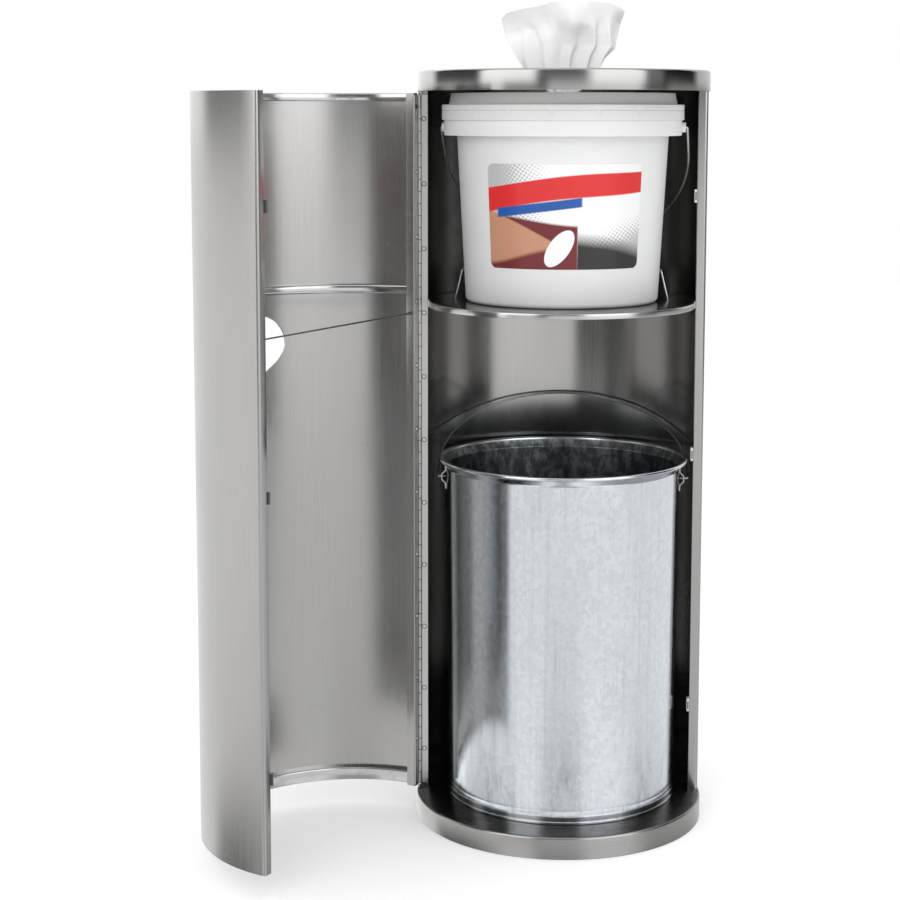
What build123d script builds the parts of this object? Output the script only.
from build123d import *
import os
from math import asin, cos, degrees, hypot, radians, sin, sqrt

# Floor-standing wipes stand with a waste bin.  A half-round steel cabinet under a round
# cap carries a pail of wipes on a shelf and a loose metal liner on its base.  A half-round
# door hangs on a continuous hinge at the left.  Origin: floor, on the cabinet's axis.
# +Z up, the front faces -Y.  Millimetres and degrees.

os.makedirs("parts", exist_ok=True)

# ---------------------------------------------------------------- driving dimensions
# Clearances
seat_gap = 0.3                # between pieces that rest on each other and move apart
weld_gap = 0.1                # between pieces that are fixed together

# Sheet and overall
sheet = 1.2                   # stainless sheet of the shell, door, base and shelf
cabinet_height = 928.0        # floor to the top of the cap
shell_radius = 177.0          # outside of the cabinet shell
bend_radius = 4.0             # outside radius of the sheet's folded corners
flange_width = 12.5           # flat frame beside the door opening, from the outside
lip_depth = 11.0              # return lip behind the frame, from its front face

# Base
base_overhang = 2.0           # base pan outside the shell
base_height = 27.0
base_edge_radius = 2.8
base_plate_thickness = 3.0

# Cap
cap_sheet = 1.0
cap_height = 24.3
cap_edge_radius = 3.0
wipe_opening_radius = 50.8
opening_edge_radius = 1.5
opening_collar_depth = 8.0

# Door
door_overhang = 0.2           # door skin outside the shell
door_open_angle = 115.5       # modelled open, from closed
door_top_gap = 2.2            # below the cap's skirt
door_bottom_gap = 1.5         # above the base
rib_depth = 8.5
rib_sheet = 1.0
rib_lip_gap = 1.5             # rib ends to the door's lips
top_rib_height = 9.0
top_rib_drop = 0.5            # top rib below the door's top edge
mid_rib_height = 11.0
mid_rib_rise = 6.8            # mid rib above the shelf's top
bottom_rib_height = 16.0
bottom_rib_rise = 1.5         # bottom rib above the door's bottom edge

# Waste opening in the door: a rounded triangle, point down
waste_corner_radius = 34.2
waste_corner_spread = 61.0    # upper corner centres, each side of the door's middle
waste_corner_drop = 51.0      # lower corner centre below the upper ones
waste_top_drop = 18.0         # top edge of the opening below the shelf's top

# Continuous hinge
knuckle_radius = 1.9
knuckle_pitch = 14.73
knuckle_gap = 0.4
hinge_inset = 2.0             # hinge axis inside the shell's outside
leaf_thickness = 0.9
leaf_width = 10.0             # from the hinge axis
leaf_cut_clearance = 0.3      # leaf edge to the other leaf's knuckles
pin_radius = 0.95
pin_clearance = 0.05
hinge_rivet_pitch = 79.5
hinge_rivet_inset = 5.4       # rivet line from the hinge axis
rivet_shank_radius = 1.2
rivet_hole_clearance = 0.05
rivet_head_radius = 2.2
rivet_head_height = 0.7
rivet_head_taper = 35.0
rivet_end_margin = 5.0        # lowest rivet above the hinge's bottom
cabinet_rivet_start = 29.0    # first rivet below the hinge's top
door_rivet_start = 94.0

# Catches on the right post and their strikes on the door
catch_drops = [151.0, 471.0, 791.0]   # below the top of the cap
catch_height = 16.0
catch_thickness = 2.7
catch_depth = 11.0
catch_proud = 1.0             # catch body in front of the frame
magnet_proud = 0.6            # magnet in front of its body
magnet_thickness = 1.3
magnet_height = 10.0
magnet_length = 4.5
magnet_clearance = 0.05
strike_gap = 0.5              # closed door's strike to the magnet
strike_sheet = 1.0
strike_depth = 10.0
strike_height = 14.0

# Tie wire across the back of the door
tie_wire_radius = 1.0
tie_wire_drop = 16.5          # below the shelf's top
tie_wire_setback = 7.0        # from the door's frame face
tie_ferrule_radius = 2.3
tie_ferrule_length = 3.0
tie_hole_clearance = 0.2

# Shelf
shelf_door_gap = 1.5          # shelf's front edge to the door's lips
shelf_wall_gap = 0.3
shelf_rim_depth = 7.2
shelf_edge_radius = 2.0
tab_width = 10.0
tab_length = 9.0
tab_sheet = 1.2
tab_front = 2.5               # tab in front of the frame's face

# Wire rail behind the pail
rail_wire_radius = 1.25
rail_height = 38.0
rail_pail_gap = 2.6
rail_foot_spread = 9.0        # feet outside the rail's ring
rail_foot_y = 16.0

# Pail, heights above its own base
pail_side_room = 32.3         # pail's skirt inside the shell's outside
pail_skirt_step = 15.9        # skirt outside the body under it
pail_taper = 11.1             # body's foot inside its top, under the skirt
pail_wall = 2.0
pail_corner_radius = 6.0
pail_skirt_height = 18.4
pail_shoulder_height = 202.0  # underside of the skirt
pail_rim_height = 16.8        # rim above the shoulder web
pail_turn = -8.0              # ear line turned about the pail's axis
pail_top_clearance = 0.5      # lid's nozzle below the cap's skirt
ear_radius = 6.0
ear_drop = 8.6                # ear centre below the shoulder web's top
ear_length = 4.8              # ear outside the skirt

# Lid
lid_overlap = 2.6             # lid rim outside the pail's skirt radius
lid_wall = 1.8
lid_collar_inset = 8.4        # collar's foot inside the lid's rim
lid_collar_lean = 2.9
lid_bead_width = 3.0          # raised ring at the top of the collar
lid_collar_height = 13.7
lid_plug_depth = 8.7
lid_panel_recess = 1.4
nozzle_radius = 21.5
nozzle_edge_radius = 1.2
nozzle_drop = 6.0             # nozzle's neck below the lid's panel
nozzle_height = 3.3
nozzle_neck_radius = 19.9
nozzle_hole_radius = 5.0
nozzle_slit_width = 1.4
nozzle_slit_length = 26.0

# Pail bail
bail_wire_radius = 1.25
bail_corner_radius = 1.6
bail_fit_clearance = 0.05     # wire end in the ear's hole
bail_angle_step = 0.05        # fineness of the search for a bail's rest angle
pail_bail_ear_gap = 2.0       # bail's wire centre outside the ear
pail_bail_leg = 42.0
bail_end_depth = 5.0          # wire end inside the ear

# Wipes
roll_side_room = 7.7          # roll inside the pail's wall at its foot
roll_bore_radius = 30.0
roll_height = 185.0
label_angle = 45.5            # half the label's wrap
label_turn = 1.3              # label's middle to the right of the front
label_height = 123.0
label_rise = 47.0             # label's lower edge above the pail's base
label_thickness = 0.3
label_corner_radius = 8.0
wipe_rise = 83.0              # pulled wipe above the cap
wipe_top_width = 146.0
wipe_top_depth = 50.0
wipe_neck_rise = 2.0          # neck section above the cap
wipe_neck_width = 90.0
wipe_neck_depth = 26.0
wipe_tail_gap = 0.5           # wipe's lower end above the nozzle
wipe_tail_width = 44.0
wipe_tail_depth = 14.0

# Liner, heights above its own foot
liner_x = 3.0
liner_y = 6.0
liner_side_room = 25.0        # rolled bead's centre inside the shell's outside
liner_flare = 7.0             # bead's centre outside the wall's top
liner_taper = 3.0             # wall's foot inside its top
liner_sheet = 0.9
liner_bead_radius = 2.6
liner_height = 425.8          # foot to the top of the bead
liner_flare_height = 9.5
foot_ring_proud = 1.5         # seam rings around the foot
foot_ring_height = 3.2
foot_bead_proud = 1.2
foot_bead_bottom = 6.0
foot_bead_top = 11.0
foot_step_height = 16.5
foot_step_proud = 0.5
liner_floor_rise = 6.0
liner_floor_flange = 9.0
liner_ear_drop = 27.0         # bail pivot below the top of the bead
liner_ear_width = 12.0
liner_ear_sheet = 1.2
liner_ear_gap = 0.2           # strap's feet to the liner's wall
liner_ear_standoff = 4.8
liner_ear_height = 30.0
liner_ear_foot = 7.0
liner_bail_leg = 24.0
liner_bail_rim_gap = 0.4      # upright bail to the rolled bead
liner_bail_wall_gap = 5.6     # bail leaning back, to the cabinet's wall
liner_rivet_shank_radius = 1.5
liner_rivet_head_radius = 2.6
liner_rivet_head_height = 1.1

# ---------------------------------------------------------------- derived sizes
shell_inside = shell_radius - sheet
base_radius = shell_radius + base_overhang
frame_inside = shell_radius - flange_width          # half the door opening
cap_inside = shell_radius + weld_gap
cap_radius = cap_inside + cap_sheet
cap_skirt_bottom = cabinet_height - cap_height
cap_inner_edge_radius = cap_edge_radius - cap_sheet
shell_top = cabinet_height - cap_edge_radius - weld_gap
door_radius = shell_radius + door_overhang
door_inside = door_radius - sheet
door_bottom = base_height + door_bottom_gap
door_top = cap_skirt_bottom - door_top_gap
door_height = door_top - door_bottom

pail_skirt_radius = shell_radius - pail_side_room
pail_shoulder_radius = pail_skirt_radius - pail_skirt_step
pail_bottom_radius = pail_shoulder_radius - pail_taper
ear_reach = pail_skirt_radius + ear_length
pail_bail_half_span = ear_reach + pail_bail_ear_gap
roll_radius = pail_bottom_radius - pail_wall - roll_side_room
liner_rim_radius = shell_radius - liner_side_room
liner_top_radius = liner_rim_radius - liner_flare
liner_bottom_radius = liner_top_radius - liner_taper

web_top = pail_shoulder_height + pail_skirt_height
rim_top = web_top + pail_rim_height
lid_underside = rim_top + weld_gap
lid_rim_top = lid_underside + lid_wall
lid_top = lid_rim_top + lid_collar_height
lid_panel_top = lid_top - lid_panel_recess
nozzle_top = lid_panel_top + nozzle_height
shelf_top = cap_skirt_bottom - pail_top_clearance - nozzle_top - seat_gap
pail_base = shelf_top + seat_gap
shelf_radius = frame_inside - shelf_door_gap
shelf_back_radius = shell_inside - shelf_wall_gap

hinge_x = -(shell_radius - hinge_inset)
hinge_y = -knuckle_radius
knuckle_count = int(door_height / knuckle_pitch)
hinge_length = knuckle_count * knuckle_pitch
hinge_bottom = door_bottom + (door_height - hinge_length) / 2
hinge_top = hinge_bottom + hinge_length
leaf_start = knuckle_radius + leaf_cut_clearance

# ---------------------------------------------------------------- frames
# Hinge frame of the cabinet: origin on the hinge axis, x along the frame's face.
cabinet_frame = Plane(origin=(hinge_x, hinge_y, 0), x_dir=(1, 0, 0), z_dir=(0, 0, 1))
# Hinge frame of the door: as the cabinet's when closed, turned open about the axis.
chord = (cos(radians(door_open_angle)), -sin(radians(door_open_angle)), 0)
door_frame = Plane(origin=(hinge_x, hinge_y, 0), x_dir=chord, z_dir=(0, 0, 1))
# In the door's frame the closed door's round is centred here.
door_centre = (-hinge_x, -hinge_y)
door_face = hinge_y                                 # door's frame face, y in its frame
door_axis_point = door_frame.from_local_coords((door_centre[0], door_centre[1], 0))


def upright(frame, across, forward, height, side=1):
    """Upright plane at a point of a hinge frame, its normal along -y (+y for side -1)."""
    origin = frame.from_local_coords((across, forward, height))
    return Plane(origin=origin, x_dir=frame.x_dir * side, z_dir=-frame.y_dir * side)


def crosswise(frame, across, forward, height):
    """Upright plane at a point of a hinge frame, its normal along the frame's x."""
    origin = frame.from_local_coords((across, forward, height))
    return Plane(origin=origin, x_dir=-frame.y_dir, z_dir=frame.x_dir)


def radial(x, y, z, turn=0.0):
    """Half-plane through a vertical axis: local x points outward, local y up."""
    out = (cos(radians(turn)), sin(radians(turn)), 0)
    return Plane(origin=(x, y, z), x_dir=out, z_dir=(out[1], -out[0], 0))


def near(profile, x, y):
    """The profile's vertex nearest to a point."""
    return profile.vertices().sort_by_distance((x, y))[0]


def block(x_range, y_range, z_range, mode=Mode.ADD):
    """Block between three pairs of limits."""
    middle = [(low + high) / 2 for low, high in (x_range, y_range, z_range)]
    size = [high - low for low, high in (x_range, y_range, z_range)]
    with Locations(tuple(middle)):
        Box(*size, mode=mode)


def rivet_heights(start):
    """Heights of a hinge rivet line, from the top down, as many as the hinge holds."""
    count = int((hinge_length - start - rivet_end_margin) / hinge_rivet_pitch) + 1
    return [hinge_top - start - hinge_rivet_pitch * index for index in range(count)]


def knuckle_heights(first):
    """Lower ends of every second knuckle, starting at the given one."""
    return [hinge_bottom + knuckle_pitch * index for index in range(first, knuckle_count, 2)]


cabinet_rivets = rivet_heights(cabinet_rivet_start)
door_rivets = rivet_heights(door_rivet_start)
rivet_hole_radius = rivet_shank_radius + rivet_hole_clearance
catch_heights = [cabinet_height - drop for drop in catch_drops]

# ---------------------------------------------------------------- base
with BuildPart() as base_plate:
    with BuildSketch(Plane.XY):
        Circle(base_radius - sheet - weld_gap)
    extrude(amount=base_plate_thickness)
base_plate.part.label = "base_plate"
export_step(base_plate.part, "parts/base_plate.step")

with BuildPart() as base_pan:
    with BuildSketch(Plane.XZ) as profile:
        with BuildLine():
            Polyline((0, base_height), (base_radius, base_height), (base_radius, 0),
                     (base_radius - sheet, 0), (base_radius - sheet, base_height - sheet),
                     (0, base_height - sheet), close=True)
        make_face()
        fillet(near(profile, base_radius, base_height), base_edge_radius)
        fillet(near(profile, base_radius - sheet, base_height - sheet), base_edge_radius - sheet)
    revolve(axis=Axis.Z)
base_pan.part.label = "base_pan"
export_step(base_pan.part, "parts/base_pan.step")


# ---------------------------------------------------------------- folded half rounds
def folded_half_round(radius, centre, face_y, side):
    """Plan of a half-round wall with folded corners, a flat frame and return lips.

    centre is the round's centre and face_y the frame's face, both in the plane's own
    coordinates; the wall lies on the given side of that face (+1 or -1).
    """
    with BuildSketch(mode=Mode.PRIVATE) as plan:
        with Locations(centre):
            Circle(radius)
        with Locations((centre[0], face_y - side * radius)):
            Rectangle(2 * radius, 2 * radius, mode=Mode.SUBTRACT)
        fillet(plan.vertices(), bend_radius)
        offset(amount=-sheet, mode=Mode.SUBTRACT)
        with Locations((centre[0], face_y)):
            Rectangle(2 * frame_inside, 2 * bend_radius, mode=Mode.SUBTRACT)
        for hand in (-1, 1):
            with Locations((centre[0] + hand * (frame_inside + sheet / 2), face_y + side * lip_depth / 2)):
                Rectangle(sheet, lip_depth)
        for hand in (-1, 1):
            fillet(near(plan, centre[0] + hand * frame_inside, face_y), sheet)
    return plan.sketch


with BuildPart() as cabinet_shell:
    with BuildSketch(Plane.XY.offset(base_height)):
        add(folded_half_round(shell_radius, (0, 0), 0, 1))
    extrude(amount=shell_top - base_height)
    for height in cabinet_rivets:
        with BuildSketch(upright(cabinet_frame, hinge_rivet_inset, knuckle_radius, height)):
            Circle(rivet_hole_radius)
        extrude(amount=2 * sheet, both=True, mode=Mode.SUBTRACT)
cabinet_shell.part.label = "cabinet_shell"
export_step(cabinet_shell.part, "parts/cabinet_shell.step")

# ---------------------------------------------------------------- cap
with BuildPart() as top_cap:
    with BuildSketch(Plane.XZ) as profile:
        collar_bottom = cabinet_height - opening_collar_depth
        cap_underside = cabinet_height - cap_sheet
        with BuildLine():
            Polyline((wipe_opening_radius, collar_bottom), (wipe_opening_radius, cabinet_height),
                     (cap_radius, cabinet_height), (cap_radius, cap_skirt_bottom),
                     (cap_inside, cap_skirt_bottom), (cap_inside, cap_underside),
                     (wipe_opening_radius + cap_sheet, cap_underside),
                     (wipe_opening_radius + cap_sheet, collar_bottom), close=True)
        make_face()
        fillet(near(profile, cap_radius, cabinet_height), cap_edge_radius)
        fillet(near(profile, cap_inside, cap_underside), cap_inner_edge_radius)
        fillet(near(profile, wipe_opening_radius, cabinet_height), opening_edge_radius)
        fillet(near(profile, wipe_opening_radius + cap_sheet, cap_underside), opening_edge_radius - cap_sheet)
    revolve(axis=Axis.Z)
top_cap.part.label = "top_cap"
export_step(top_cap.part, "parts/top_cap.step")

# ---------------------------------------------------------------- shelf
with BuildPart() as shelf:
    with BuildSketch(Plane.XY.offset(shelf_top - shelf_rim_depth)) as plan:
        Circle(shelf_back_radius)
        with Locations((0, lip_depth + shelf_door_gap - shelf_back_radius)):
            Rectangle(2 * shelf_back_radius, 2 * shelf_back_radius, mode=Mode.SUBTRACT)
        Circle(shelf_radius)
    extrude(amount=shelf_rim_depth)
    fillet(shelf.edges().group_by(Axis.Z)[-1], shelf_edge_radius)
    with BuildSketch(Plane.XY.offset(shelf_top - shelf_rim_depth)):
        add(plan.sketch)
        offset(amount=-sheet, mode=Mode.REPLACE)
    extrude(amount=shelf_rim_depth - sheet, mode=Mode.SUBTRACT)
shelf.part.label = "shelf"
export_step(shelf.part, "parts/shelf.step")

with BuildPart() as shelf_tabs:
    tab_floor = shelf_top - shelf_rim_depth
    for hand in (-1, 1):
        # Upright leg against the post's lip, foot under the shelf's rim.
        tip = hand * (frame_inside - tab_length)
        leg = hand * (frame_inside - tab_sheet)
        with BuildSketch(Plane.XZ.offset(tab_front - tab_width)):
            with BuildLine():
                Polyline((tip, tab_floor), (leg, tab_floor), (leg, shelf_top),
                         (hand * frame_inside, shelf_top), (hand * frame_inside, tab_floor - tab_sheet),
                         (tip, tab_floor - tab_sheet), close=True)
            make_face()
        extrude(amount=tab_width)
shelf_tabs.part.label = "shelf_tabs"
export_step(shelf_tabs.part, "parts/shelf_tabs.step")

# ---------------------------------------------------------------- wire rail on the shelf
pail_slope = (pail_shoulder_radius - pail_bottom_radius) / pail_shoulder_height
rail_radius = pail_bottom_radius + pail_slope * rail_height + rail_pail_gap + rail_wire_radius
rail_top = shelf_top + rail_height
rail_start = degrees(asin(rail_foot_y / rail_radius))
rail_corner_x = rail_radius * cos(radians(rail_start))

with BuildPart() as pail_rail:
    with BuildSketch(Plane.XZ.rotated((0, 0, rail_start))):
        with Locations((rail_radius, rail_top)):
            Circle(rail_wire_radius)
    revolve(axis=Axis.Z, revolution_arc=180 - 2 * rail_start)
    for hand in (-1, 1):
        foot = Vector(hand * (rail_corner_x + rail_foot_spread), rail_foot_y, shelf_top - rail_wire_radius)
        corner = Vector(hand * rail_corner_x, rail_foot_y, rail_top)
        with BuildSketch(Plane(origin=foot, z_dir=corner - foot)):
            Circle(rail_wire_radius)
        extrude(amount=(corner - foot).length)
        with Locations(corner):
            Sphere(rail_wire_radius)
    split(bisect_by=Plane.XY.offset(shelf_top), keep=Keep.TOP)
pail_rail.part.label = "pail_rail"
export_step(pail_rail.part, "parts/pail_rail.step")


# ---------------------------------------------------------------- continuous hinge
def hinge_leaf(frame, side, first_knuckle, rivets):
    """Build one leaf in the current part: plate, links and rolled knuckles.

    side is +1 for the leaf on the hinge frame's +y side and -1 for the other.
    """
    plate_y = side * (knuckle_radius - leaf_thickness / 2)
    with BuildSketch(frame.offset(hinge_bottom)) as plate:
        with Locations(((leaf_start + leaf_width) / 2, plate_y)):
            Rectangle(leaf_width - leaf_start, leaf_thickness)
    extrude(plate.sketch, amount=hinge_length)
    for height in knuckle_heights(first_knuckle):
        with BuildSketch(frame.offset(height)) as knuckle:
            Circle(knuckle_radius)
            with Locations((leaf_start / 2, plate_y)):
                Rectangle(leaf_start, leaf_thickness)
            Circle(pin_radius + pin_clearance, mode=Mode.SUBTRACT)
        extrude(knuckle.sketch, amount=knuckle_pitch - knuckle_gap)
    for height in rivets:
        with BuildSketch(upright(frame, hinge_rivet_inset, plate_y, height)) as hole:
            Circle(rivet_hole_radius)
        extrude(hole.sketch, amount=leaf_thickness, both=True, mode=Mode.SUBTRACT)


def hinge_rivet(frame, side, height):
    """Add one hinge rivet: head on the leaf, shank through leaf and frame, flared tail."""
    head_y = side * (knuckle_radius - leaf_thickness)
    tail_y = side * (knuckle_radius + sheet)
    tail_height = rivet_head_height / 2
    with BuildSketch(upright(frame, hinge_rivet_inset, head_y, height, -side)) as shank:
        Circle(rivet_shank_radius)
    extrude(shank.sketch, amount=leaf_thickness + sheet + tail_height)
    with BuildSketch(upright(frame, hinge_rivet_inset, head_y, height, side)) as head:
        Circle(rivet_head_radius)
    extrude(head.sketch, amount=rivet_head_height, taper=rivet_head_taper)
    with BuildSketch(upright(frame, hinge_rivet_inset, tail_y, height, -side)) as tail:
        Circle(rivet_head_radius)
    extrude(tail.sketch, amount=tail_height, taper=rivet_head_taper)


with BuildPart() as hinge_leaf_cabinet:
    hinge_leaf(cabinet_frame, 1, 0, cabinet_rivets)
hinge_leaf_cabinet.part.label = "hinge_leaf_cabinet"
export_step(hinge_leaf_cabinet.part, "parts/hinge_leaf_cabinet.step")

with BuildPart() as hinge_leaf_door:
    hinge_leaf(door_frame, -1, 1, door_rivets)
hinge_leaf_door.part.label = "hinge_leaf_door"
export_step(hinge_leaf_door.part, "parts/hinge_leaf_door.step")

with BuildPart() as hinge_pin:
    with BuildSketch(cabinet_frame.offset(hinge_bottom)):
        Circle(pin_radius)
    extrude(amount=hinge_length - knuckle_gap)
hinge_pin.part.label = "hinge_pin"
export_step(hinge_pin.part, "parts/hinge_pin.step")

with BuildPart() as hinge_rivets_cabinet:
    for height in cabinet_rivets:
        hinge_rivet(cabinet_frame, 1, height)
hinge_rivets_cabinet.part.label = "hinge_rivets_cabinet"
export_step(hinge_rivets_cabinet.part, "parts/hinge_rivets_cabinet.step")

with BuildPart() as hinge_rivets_door:
    for height in door_rivets:
        hinge_rivet(door_frame, -1, height)
hinge_rivets_door.part.label = "hinge_rivets_door"
export_step(hinge_rivets_door.part, "parts/hinge_rivets_door.step")

# ---------------------------------------------------------------- door
tie_wire_z = shelf_top - tie_wire_drop
tie_wire_y = door_face - tie_wire_setback
tie_hole_radius = tie_wire_radius + tie_hole_clearance
waste_upper_z = shelf_top - waste_top_drop - waste_corner_radius

with BuildPart() as door_skin:
    with BuildSketch(door_frame.offset(door_bottom)):
        add(folded_half_round(door_radius, door_centre, door_face, -1))
    extrude(amount=door_height)
    # Waste opening, cut outward from the door's axis.
    with BuildSketch(upright(door_frame, door_centre[0], door_centre[1], 0)):
        Polygon((-waste_corner_spread, waste_upper_z), (waste_corner_spread, waste_upper_z),
                (0, waste_upper_z - waste_corner_drop), align=None)
        offset(amount=waste_corner_radius, kind=Kind.ARC)
    extrude(amount=2 * door_radius, mode=Mode.SUBTRACT)
    # Tie wire holes through both lips.
    with BuildSketch(crosswise(door_frame, 0, tie_wire_y, tie_wire_z)):
        Circle(tie_hole_radius)
    extrude(amount=door_centre[0] + frame_inside + 2 * sheet, mode=Mode.SUBTRACT)
    for height in door_rivets:
        with BuildSketch(upright(door_frame, hinge_rivet_inset, -knuckle_radius, height)):
            Circle(rivet_hole_radius)
        extrude(amount=2 * sheet, both=True, mode=Mode.SUBTRACT)
door_skin.part.label = "door_skin"
export_step(door_skin.part, "parts/door_skin.step")


def door_rib(bottom, height):
    """Add a channel-shaped stiffening rib that follows the door's inner wall."""
    wall = door_inside - weld_gap
    inner = wall - rib_depth
    top = bottom + height
    end_drop = door_centre[1] - (door_face - lip_depth - rib_lip_gap)
    end_angle = degrees(asin(end_drop / wall))
    outward = door_frame.x_dir.rotate(Axis.Z, -end_angle)
    start = Plane(origin=door_axis_point, x_dir=outward, z_dir=outward.cross(Vector(0, 0, 1)))
    with BuildSketch(start) as profile:
        with BuildLine():
            Polyline((wall, bottom), (inner, bottom), (inner, top), (wall, top),
                     (wall, top - rib_sheet), (inner + rib_sheet, top - rib_sheet),
                     (inner + rib_sheet, bottom + rib_sheet), (wall, bottom + rib_sheet), close=True)
        make_face()
    revolve(profile.sketch, axis=Axis(door_axis_point, (0, 0, -1)), revolution_arc=180 - 2 * end_angle)


with BuildPart() as door_top_rib:
    door_rib(door_top - top_rib_drop - top_rib_height, top_rib_height)
door_top_rib.part.label = "door_top_rib"
export_step(door_top_rib.part, "parts/door_top_rib.step")

with BuildPart() as door_mid_rib:
    door_rib(shelf_top + mid_rib_rise, mid_rib_height)
door_mid_rib.part.label = "door_mid_rib"
export_step(door_mid_rib.part, "parts/door_mid_rib.step")

with BuildPart() as door_bottom_rib:
    door_rib(door_bottom + bottom_rib_rise, bottom_rib_height)
door_bottom_rib.part.label = "door_bottom_rib"
export_step(door_bottom_rib.part, "parts/door_bottom_rib.step")

with BuildPart() as tie_wire:
    near_lip = door_centre[0] - frame_inside
    far_lip = door_centre[0] + frame_inside
    with BuildSketch(crosswise(door_frame, near_lip - 2 * sheet, tie_wire_y, tie_wire_z)):
        Circle(tie_wire_radius)
    extrude(amount=far_lip - near_lip + 4 * sheet)
    for start in (near_lip + weld_gap, far_lip - weld_gap - tie_ferrule_length):
        with BuildSketch(crosswise(door_frame, start, tie_wire_y, tie_wire_z)):
            Circle(tie_ferrule_radius)
        extrude(amount=tie_ferrule_length)
tie_wire.part.label = "tie_wire"
export_step(tie_wire.part, "parts/tie_wire.step")

# ---------------------------------------------------------------- catches and strikes
catch_inside = frame_inside - catch_thickness
magnet_x = frame_inside - catch_thickness / 2
magnet_face = -(catch_proud + magnet_proud)
magnet_back = magnet_face + magnet_length
pocket_half = magnet_thickness / 2 + magnet_clearance
pocket_rise = magnet_height / 2 + magnet_clearance

with BuildPart() as catch_bodies:
    for height in catch_heights:
        block((catch_inside, frame_inside), (-catch_proud, catch_depth - catch_proud),
              (height - catch_height / 2, height + catch_height / 2))
    fillet(catch_bodies.edges().filter_by(Axis.X), catch_proud)
    for height in catch_heights:
        block((magnet_x - pocket_half, magnet_x + pocket_half), (-2 * catch_proud, magnet_back),
              (height - pocket_rise, height + pocket_rise), Mode.SUBTRACT)
catch_bodies.part.label = "catch_bodies"
export_step(catch_bodies.part, "parts/catch_bodies.step")

with BuildPart() as catch_magnets:
    for height in catch_heights:
        block((magnet_x - magnet_thickness / 2, magnet_x + magnet_thickness / 2),
              (magnet_face, magnet_back), (height - magnet_height / 2, height + magnet_height / 2))
catch_magnets.part.label = "catch_magnets"
export_step(catch_magnets.part, "parts/catch_magnets.step")

with BuildPart() as catch_strikes:
    # Angle plates on the door's free lip, drawn in the door's frame.
    face_y = magnet_face - strike_gap - hinge_y
    lip_x = door_centre[0] + frame_inside
    tip_x = door_centre[0] + catch_inside
    for height in catch_heights:
        with BuildSketch(door_frame.offset(height - strike_height / 2)):
            with BuildLine():
                Polyline((tip_x, face_y), (lip_x, face_y), (lip_x, face_y - strike_depth),
                         (lip_x - strike_sheet, face_y - strike_depth),
                         (lip_x - strike_sheet, face_y - strike_sheet),
                         (tip_x, face_y - strike_sheet), close=True)
            make_face()
        extrude(amount=strike_height)
catch_strikes.part.label = "catch_strikes"
export_step(catch_strikes.part, "parts/catch_strikes.step")

# ---------------------------------------------------------------- pail
ear_height = web_top - ear_drop
bail_hole_radius = bail_wire_radius + bail_fit_clearance
skirt_inside = pail_skirt_radius - pail_wall
web_body_radius = pail_bottom_radius + pail_slope * (web_top - pail_wall)
ear_line = radial(0, 0, pail_base + ear_height, pail_turn)


def ear_plane(distance, hand):
    """Plane across the pail's ear line, its normal pointing outward."""
    out = ear_line.x_dir * hand
    return Plane(origin=ear_line.origin + out * distance, x_dir=(0, 0, 1), z_dir=out)


with BuildPart() as pail_body:
    with BuildSketch(radial(0, 0, pail_base)) as profile:
        with BuildLine():
            Polyline((0, 0), (pail_bottom_radius, 0), (web_body_radius, web_top - pail_wall),
                     (skirt_inside, web_top - pail_wall), (skirt_inside, pail_shoulder_height),
                     (pail_skirt_radius, pail_shoulder_height), (pail_skirt_radius, rim_top),
                     (skirt_inside, rim_top), (skirt_inside, web_top),
                     (web_body_radius - pail_wall, web_top),
                     (pail_bottom_radius - pail_wall, pail_wall), (0, pail_wall), close=True)
        make_face()
        fillet(near(profile, pail_bottom_radius, 0), pail_corner_radius)
        fillet(near(profile, pail_bottom_radius - pail_wall, pail_wall), pail_corner_radius - pail_wall)
    revolve(axis=Axis.Z)
    for hand in (-1, 1):
        with BuildSketch(ear_plane(skirt_inside, hand)):
            Circle(ear_radius)
        extrude(amount=ear_reach - skirt_inside)
        with BuildSketch(ear_plane(ear_reach, hand)):
            Circle(bail_hole_radius)
        extrude(amount=-(bail_end_depth + seat_gap), mode=Mode.SUBTRACT)
pail_body.part.label = "pail_body"
export_step(pail_body.part, "parts/pail_body.step")

# ---------------------------------------------------------------- lid and nozzle
lid_radius = pail_skirt_radius + lid_overlap
lid_inside = lid_radius - lid_wall
collar_foot = lid_radius - lid_collar_inset
collar_top = collar_foot - lid_collar_lean
plug_radius = skirt_inside - weld_gap
nozzle_bore = nozzle_neck_radius + weld_gap

with BuildPart() as pail_lid:
    with BuildSketch(radial(0, 0, pail_base)) as profile:
        with BuildLine():
            Polyline((nozzle_bore, lid_panel_top), (collar_top - lid_bead_width - lid_panel_recess, lid_panel_top),
                     (collar_top - lid_bead_width, lid_top), (collar_top, lid_top),
                     (collar_foot, lid_rim_top), (lid_radius, lid_rim_top),
                     (lid_radius, web_top + weld_gap), (lid_inside, web_top + weld_gap),
                     (lid_inside, lid_underside), (plug_radius, lid_underside),
                     (plug_radius, lid_underside - lid_plug_depth),
                     (plug_radius - lid_wall, lid_underside - lid_plug_depth),
                     (plug_radius - lid_wall, lid_underside), (collar_foot - lid_wall, lid_underside),
                     (collar_top - lid_wall, lid_panel_top - lid_wall),
                     (nozzle_bore, lid_panel_top - lid_wall), close=True)
        make_face()
        fillet(near(profile, lid_radius, lid_rim_top), lid_wall / 2)
        fillet(near(profile, collar_top, lid_top), lid_wall / 2)
    revolve(axis=Axis.Z)
pail_lid.part.label = "pail_lid"
export_step(pail_lid.part, "parts/pail_lid.step")

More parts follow.
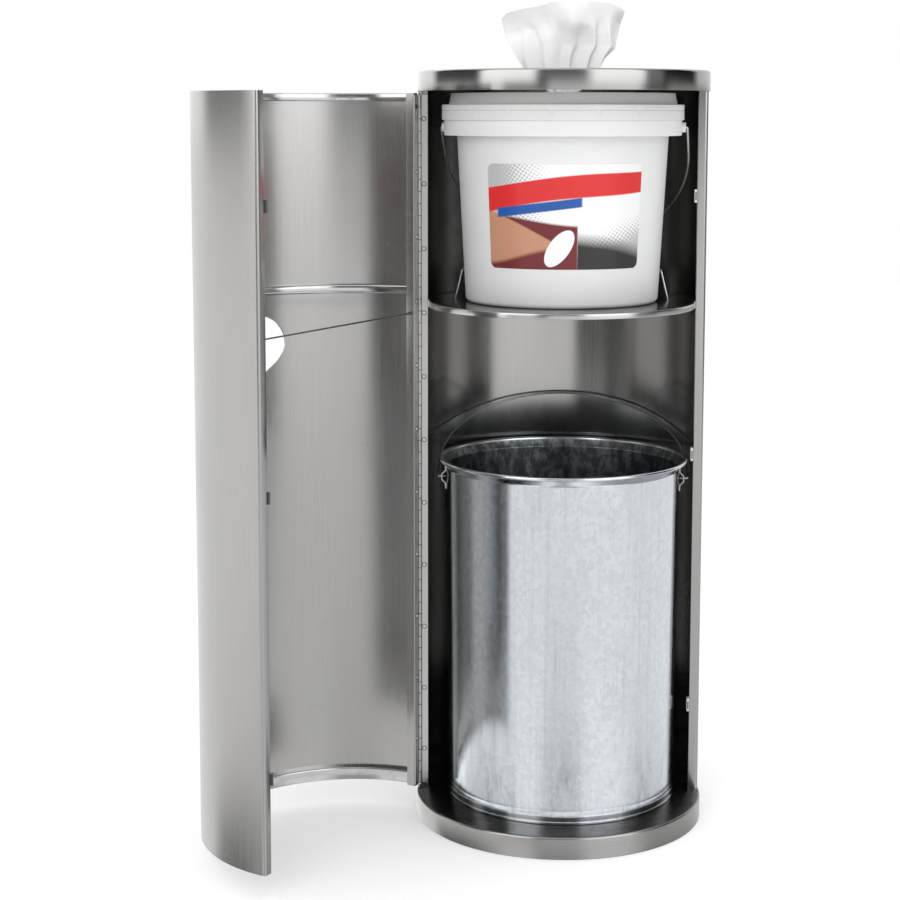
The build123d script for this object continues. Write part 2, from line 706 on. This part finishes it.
with BuildPart() as lid_nozzle:
    with BuildSketch(radial(0, 0, pail_base)) as profile:
        with BuildLine():
            Polyline((nozzle_hole_radius, lid_panel_top - lid_wall), (nozzle_hole_radius, nozzle_top),
                     (nozzle_radius, nozzle_top), (nozzle_radius, lid_panel_top + weld_gap),
                     (nozzle_neck_radius, lid_panel_top + weld_gap),
                     (nozzle_neck_radius, lid_panel_top - nozzle_drop),
                     (nozzle_neck_radius - lid_wall, lid_panel_top - nozzle_drop),
                     (nozzle_neck_radius - lid_wall, lid_panel_top - lid_wall), close=True)
        make_face()
        fillet(near(profile, nozzle_radius, nozzle_top), nozzle_edge_radius)
    revolve(axis=Axis.Z)
    # Crossed slits that hold the next wipe.
    for width, length in ((nozzle_slit_width, nozzle_slit_length), (nozzle_slit_length, nozzle_slit_width)):
        block((-width / 2, width / 2), (-length / 2, length / 2),
              (pail_base + lid_panel_top - 2 * lid_wall, pail_base + nozzle_top + lid_wall), Mode.SUBTRACT)
lid_nozzle.part.label = "lid_nozzle"
export_step(lid_nozzle.part, "parts/lid_nozzle.step")

# ---------------------------------------------------------------- label and roll
with BuildPart() as pail_label:
    label_top = label_rise + label_height
    bottom_radius = pail_bottom_radius + pail_slope * label_rise + weld_gap
    top_radius = pail_bottom_radius + pail_slope * label_top + weld_gap
    # Angles in plan are measured from +X, so the front is at -90.
    label_start = label_turn - 90 - label_angle
    with BuildSketch(radial(0, 0, pail_base, label_start)):
        with BuildLine():
            Polyline((bottom_radius, label_rise), (bottom_radius + label_thickness, label_rise),
                     (top_radius + label_thickness, label_top), (top_radius, label_top), close=True)
        make_face()
    revolve(axis=Axis.Z, revolution_arc=2 * label_angle)
    label_width = 2 * (top_radius + label_thickness) * sin(radians(label_angle))
    front = Plane(origin=(0, 0, pail_base + label_rise + label_height / 2),
                  x_dir=(cos(radians(label_turn)), sin(radians(label_turn)), 0),
                  z_dir=(sin(radians(label_turn)), -cos(radians(label_turn)), 0))
    with BuildSketch(front):
        RectangleRounded(label_width, label_height, label_corner_radius)
    extrude(amount=2 * pail_skirt_radius, mode=Mode.INTERSECT)
pail_label.part.label = "pail_label"
export_step(pail_label.part, "parts/pail_label.step")

with BuildPart() as wipes_roll:
    with BuildSketch(Plane.XY.offset(pail_base + pail_wall + weld_gap)):
        Circle(roll_radius)
        Circle(roll_bore_radius, mode=Mode.SUBTRACT)
    extrude(amount=roll_height)
wipes_roll.part.label = "wipes_roll"
export_step(wipes_roll.part, "parts/wipes_roll.step")

with BuildPart() as pulled_wipe:
    sections = (
        (pail_base + nozzle_top + wipe_tail_gap, wipe_tail_width, wipe_tail_depth),
        (cabinet_height + wipe_neck_rise, wipe_neck_width, wipe_neck_depth),
        (cabinet_height + wipe_rise, wipe_top_width, wipe_top_depth),
    )
    for height, width, depth in sections:
        with BuildSketch(Plane.XY.offset(height)):
            RectangleRounded(width, depth, depth / 3)
    loft(ruled=True)
pulled_wipe.part.label = "pulled_wipe"
export_step(pulled_wipe.part, "parts/pulled_wipe.step")


# ---------------------------------------------------------------- bails
def bail_points(half_span, leg):
    """Distances across and along a bail, at whole degrees around its bow."""
    turns = [radians(turn) for turn in range(181)]
    return [(half_span * cos(turn), leg + half_span * sin(turn)) for turn in turns]


def bail_wire(plane, half_span, leg, end):
    """Bend a bail in the current part: ends on the plane's x axis, bow toward its +y."""
    bend = bail_corner_radius
    with BuildLine(plane) as path:
        Line((-end, 0), (bend - half_span, 0))
        CenterArc((bend - half_span, bend), bend, 270, -90)
        Line((-half_span, bend), (-half_span, leg))
        CenterArc((0, leg), half_span, 180, -180)
        Line((half_span, leg), (half_span, bend))
        CenterArc((half_span - bend, bend), bend, 0, -90)
        Line((half_span - bend, 0), (end, 0))
    start = plane.from_local_coords((-end, 0, 0))
    with BuildSketch(Plane(origin=start, z_dir=-plane.x_dir)) as section:
        Circle(bail_wire_radius)
    sweep(section.sketch, path=path.line)


def pail_bail_gap(lean):
    """Smallest distance from the pail's wall to the bail leaning back by an angle."""
    gaps = []
    for across, along in bail_points(pail_bail_half_span, pail_bail_leg):
        height = ear_height - along * cos(radians(lean))
        body_radius = pail_bottom_radius + pail_slope * height
        gaps.append(hypot(across, along * sin(radians(lean))) - bail_wire_radius - body_radius)
    return min(gaps)


pail_bail_lean = 0.0
while pail_bail_gap(pail_bail_lean) < seat_gap:
    pail_bail_lean += bail_angle_step

with BuildPart() as pail_bail:
    back = ear_line.x_dir.rotate(Axis.Z, 90)
    reach = back * sin(radians(pail_bail_lean)) - Vector(0, 0, 1) * cos(radians(pail_bail_lean))
    bail_wire(Plane(origin=ear_line.origin, x_dir=ear_line.x_dir, z_dir=ear_line.x_dir.cross(reach)),
              pail_bail_half_span, pail_bail_leg, ear_reach - bail_end_depth)
pail_bail.part.label = "pail_bail"
export_step(pail_bail.part, "parts/pail_bail.step")

# ---------------------------------------------------------------- liner
liner_base = base_height + seat_gap
liner_slope = (liner_top_radius - liner_bottom_radius) / liner_height
bead_height = liner_height - liner_bead_radius
flare_foot = bead_height - liner_flare_height
pivot_height = liner_height - liner_ear_drop
liner_bead_outside = liner_rim_radius + liner_bead_radius
liner_bail_half_span = liner_bead_outside + liner_bail_rim_gap + bail_wire_radius


def liner_radius(height):
    """Outside radius of the liner's wall at a height above its foot."""
    return liner_bottom_radius + liner_slope * height


ear_inside = liner_radius(pivot_height + liner_ear_height / 2) + liner_ear_gap
ear_outside = ear_inside + liner_ear_standoff + liner_ear_sheet
ear_rivet_rise = liner_ear_height / 2 - liner_ear_foot / 2
liner_rivet_hole = liner_rivet_shank_radius + rivet_hole_clearance


def liner_plane(distance, rise, hand):
    """Plane facing outward at the liner's side, a distance from its axis."""
    return Plane(origin=(liner_x + hand * distance, liner_y, liner_base + pivot_height + rise),
                 x_dir=(0, hand, 0), z_dir=(hand, 0, 0))


with BuildPart() as liner_body:
    with BuildSketch(radial(liner_x, liner_y, liner_base)) as profile:
        with BuildLine():
            inner_foot = liner_bottom_radius - liner_sheet
            inner_top = liner_radius(flare_foot) - liner_sheet
            Polyline((inner_foot, 0), (liner_bottom_radius + foot_ring_proud, 0),
                     (liner_bottom_radius + foot_ring_proud, foot_ring_height),
                     (liner_bottom_radius + foot_step_proud, foot_ring_height),
                     (liner_bottom_radius + foot_step_proud, foot_bead_bottom),
                     (liner_bottom_radius + foot_bead_proud, foot_bead_bottom),
                     (liner_bottom_radius + foot_bead_proud, foot_bead_top),
                     (liner_bottom_radius + foot_step_proud, foot_bead_top),
                     (liner_bottom_radius + foot_step_proud, foot_step_height),
                     (liner_radius(foot_step_height), foot_step_height),
                     (liner_radius(flare_foot), flare_foot),
                     (liner_rim_radius, bead_height), (liner_rim_radius - liner_sheet, bead_height),
                     (inner_top, flare_foot), close=True)
        make_face()
        with Locations((liner_rim_radius, bead_height)):
            Circle(liner_bead_radius)
    revolve(axis=Axis((liner_x, liner_y, 0), (0, 0, 1)))
    for hand in (-1, 1):
        for rise in (-ear_rivet_rise, ear_rivet_rise):
            with BuildSketch(liner_plane(liner_bottom_radius / 2, rise, hand)):
                Circle(liner_rivet_hole)
            extrude(amount=liner_bottom_radius, mode=Mode.SUBTRACT)
liner_body.part.label = "liner_body"
export_step(liner_body.part, "parts/liner_body.step")

with BuildPart() as liner_bottom:
    floor_radius = liner_bottom_radius - liner_sheet - weld_gap
    with BuildSketch(Plane.XY.offset(liner_base)):
        with Locations((liner_x, liner_y)):
            Circle(floor_radius)
    extrude(amount=liner_floor_rise)
    with BuildSketch(Plane.XY.offset(liner_base)):
        with Locations((liner_x, liner_y)):
            Circle(floor_radius - liner_sheet)
    extrude(amount=liner_floor_rise - liner_sheet, mode=Mode.SUBTRACT)
liner_bottom.part.label = "liner_bottom"
export_step(liner_bottom.part, "parts/liner_bottom.step")

with BuildPart() as liner_ears:
    half = liner_ear_height / 2
    shoulder = half - liner_ear_foot
    arm = shoulder - liner_ear_standoff
    for hand in (-1, 1):
        side = Plane(origin=(liner_x, liner_y + liner_ear_width / 2, liner_base + pivot_height),
                     x_dir=(1, 0, 0), z_dir=(0, -1, 0))
        with BuildSketch(side):
            with BuildLine():
                outline = ((ear_inside, -half), (ear_inside, -shoulder), (ear_outside - liner_ear_sheet, -arm),
                           (ear_outside - liner_ear_sheet, arm), (ear_inside, shoulder), (ear_inside, half),
                           (ear_inside + liner_ear_sheet, half),
                           (ear_inside + liner_ear_sheet, shoulder + liner_ear_sheet / 2),
                           (ear_outside, arm + liner_ear_sheet / 2), (ear_outside, -arm - liner_ear_sheet / 2),
                           (ear_inside + liner_ear_sheet, -shoulder - liner_ear_sheet / 2),
                           (ear_inside + liner_ear_sheet, -half))
                Polyline(*[(hand * out, rise) for out, rise in outline], close=True)
            make_face()
        extrude(amount=liner_ear_width)
        with BuildSketch(liner_plane(ear_inside, 0, hand)):
            Circle(bail_hole_radius)
        extrude(amount=2 * liner_ear_standoff, mode=Mode.SUBTRACT)
        for rise in (-ear_rivet_rise, ear_rivet_rise):
            with BuildSketch(liner_plane(ear_inside - liner_sheet, rise, hand)):
                Circle(liner_rivet_hole)
            extrude(amount=liner_ear_standoff, mode=Mode.SUBTRACT)
liner_ears.part.label = "liner_ears"
export_step(liner_ears.part, "parts/liner_ears.step")

with BuildPart() as liner_rivets:
    for hand in (-1, 1):
        for rise in (-ear_rivet_rise, ear_rivet_rise):
            wall_inside = liner_radius(pivot_height + rise) - liner_sheet
            inner_face = sqrt(wall_inside ** 2 - liner_rivet_head_radius ** 2) - weld_gap
            head_face = ear_inside + liner_ear_sheet
            with BuildSketch(liner_plane(inner_face, rise, hand)):
                Circle(liner_rivet_shank_radius)
            extrude(amount=head_face - inner_face)
            with BuildSketch(liner_plane(head_face, rise, hand)):
                Circle(liner_rivet_head_radius)
            extrude(amount=liner_rivet_head_height, taper=rivet_head_taper)
            with BuildSketch(liner_plane(inner_face, rise, hand)):
                Circle(liner_rivet_head_radius)
            extrude(amount=-liner_rivet_head_height / 2)
liner_rivets.part.label = "liner_rivets"
export_step(liner_rivets.part, "parts/liner_rivets.step")


def liner_bail_reach(lean):
    """Farthest point of the bail from the cabinet's axis when it leans back by an angle."""
    points = bail_points(liner_bail_half_span, liner_bail_leg)
    return max(hypot(liner_x + across, liner_y + along * sin(radians(lean))) for across, along in points)


liner_bail_lean = 90.0
while liner_bail_reach(liner_bail_lean) > shell_inside - liner_bail_wall_gap - bail_wire_radius:
    liner_bail_lean -= bail_angle_step

with BuildPart() as liner_bail:
    reach = Vector(0, sin(radians(liner_bail_lean)), cos(radians(liner_bail_lean)))
    pivot = Vector(liner_x, liner_y, liner_base + pivot_height)
    bail_wire(Plane(origin=pivot, x_dir=(1, 0, 0), z_dir=Vector(1, 0, 0).cross(reach)),
              liner_bail_half_span, liner_bail_leg, ear_inside + liner_ear_sheet)
liner_bail.part.label = "liner_bail"
export_step(liner_bail.part, "parts/liner_bail.step")
